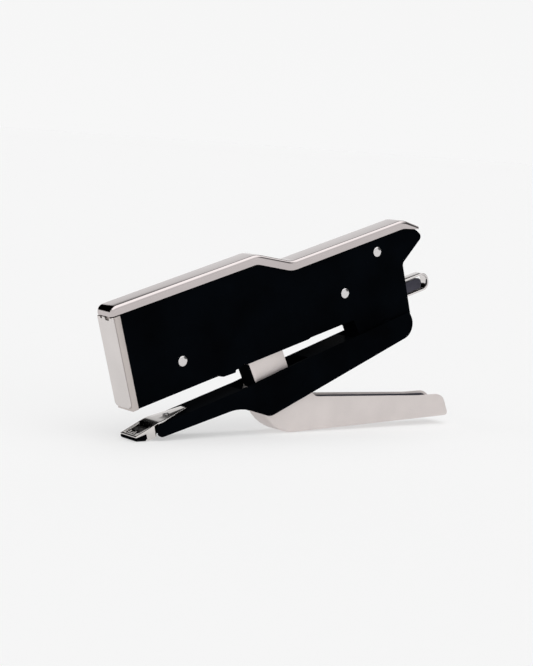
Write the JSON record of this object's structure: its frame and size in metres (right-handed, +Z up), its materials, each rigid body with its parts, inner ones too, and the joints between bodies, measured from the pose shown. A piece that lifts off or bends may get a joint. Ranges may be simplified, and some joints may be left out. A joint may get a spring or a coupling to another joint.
{
  "type": "plier stapler",
  "caption": "Slim hand stapler: black lacquered body with plated cover and nose, hinged anvil jaw, nickel stirrup and squeeze handle, sprung pusher with a rear pull loop.",
  "frame": {"origin": "under the middle of the whole box, on the surface the stapler stands on", "axes": "+X from the nose to the handle end, +Z up, +Y across to the far side; the body is pitched nose down by 17.4 degrees, as it stands on its anvil sole and handle belly"},
  "size_m": [0.1854, 0.0136, 0.0913],
  "materials": {
    "black_lacquer": "gloss",
    "cover_chrome": "polished",
    "nose_nickel": "satin",
    "nose_chrome": "polished",
    "rivet_nickel": "polished",
    "matte_nickel": "fine blasted",
    "anvil_chrome": "polished",
    "loop_nickel": "polished",
    "dark_steel": "oiled",
    "inner_steel": "plain",
    "spring_wire": "drawn",
    "staple_wire": "plated"
  },
  "bodies": {
    "root": {"side_plate_left": "black_lacquer", "side_plate_right": "black_lacquer", "top_cover": "cover_chrome", "nose_housing": "nose_nickel", "front_plate": "nose_chrome", "front_rivet": "rivet_nickel", "middle_rivet": "rivet_nickel", "hammer_rivet": "rivet_nickel", "front_spacer": "inner_steel", "middle_spacer": "inner_steel", "magazine_channel": "inner_steel", "staple_strip": "staple_wire", "spring_stop": "dark_steel", "spring_seat": "dark_steel", "hammer_spring": "spring_wire", "pusher_spring": "spring_wire"},
    "hammer": {"hammer_lever": "dark_steel", "driver_blade": "inner_steel", "blade_rivet": "inner_steel", "hammer_bush": "inner_steel", "link_head_pin": "inner_steel"},
    "link": {"stirrup_link": "matte_nickel"},
    "jaw": {"lower_jaw": "black_lacquer", "anvil_plate": "anvil_chrome", "anvil_foot": "black_lacquer", "anvil_rivet": "rivet_nickel", "jaw_pin": "black_lacquer", "jaw_washer_left": "black_lacquer", "jaw_washer_right": "black_lacquer", "handle_pin": "black_lacquer", "handle_spring": "spring_wire"},
    "handle": {"handle_lever": "matte_nickel", "link_foot_pin": "inner_steel"},
    "pusher": {"pusher_block": "dark_steel", "pusher_rod": "inner_steel", "pusher_head": "dark_steel", "pull_loop": "loop_nickel", "loop_rivet": "rivet_nickel", "pull_bar": "dark_steel"}
  },
  "joints": [
    {"name": "jaw_close", "type": "hinge", "parent": "root", "child": "jaw", "pos_m": [0.05163, 0, 0.04465], "axis": [0, 1, 0], "range_deg": [0, 3.61]},
    {"name": "handle_squeeze", "type": "hinge", "parent": "jaw", "child": "handle", "pos_m": [0.00622, 0, 0.02067], "axis": [0, -1, 0], "range_deg": [0, 24], "stiffness_Nm_per_rad": 0.6, "springref_deg": -34.38, "deforming": ["handle_spring"]},
    {"name": "hammer_drive", "type": "hinge", "parent": "root", "child": "hammer", "pos_m": [0.04254, 0, 0.07732], "axis": [0, -1, 0], "range_deg": [0, 2.42], "deforming": ["hammer_spring"]},
    {"name": "link_swing", "type": "hinge", "parent": "hammer", "child": "link", "pos_m": [-0.03098, 0, 0.05145], "axis": [0, 1, 0], "range_deg": [0, 3.01]},
    {"name": "pusher_pull", "type": "slide", "parent": "root", "child": "pusher", "axis": [0.9542, 0, 0.299], "range_m": [0, 0.065], "stiffness_N_per_m": 30, "springref_m": -0.06, "deforming": ["pusher_spring"]}
  ],
  "couplings": [
    {"joint": "jaw_close", "follows": "handle_squeeze", "ratio": 0.15},
    {"joint": "hammer_drive", "follows": "handle_squeeze", "ratio": 0.1002},
    {"joint": "link_swing", "follows": "handle_squeeze", "ratio": 0.12467}
  ]
}
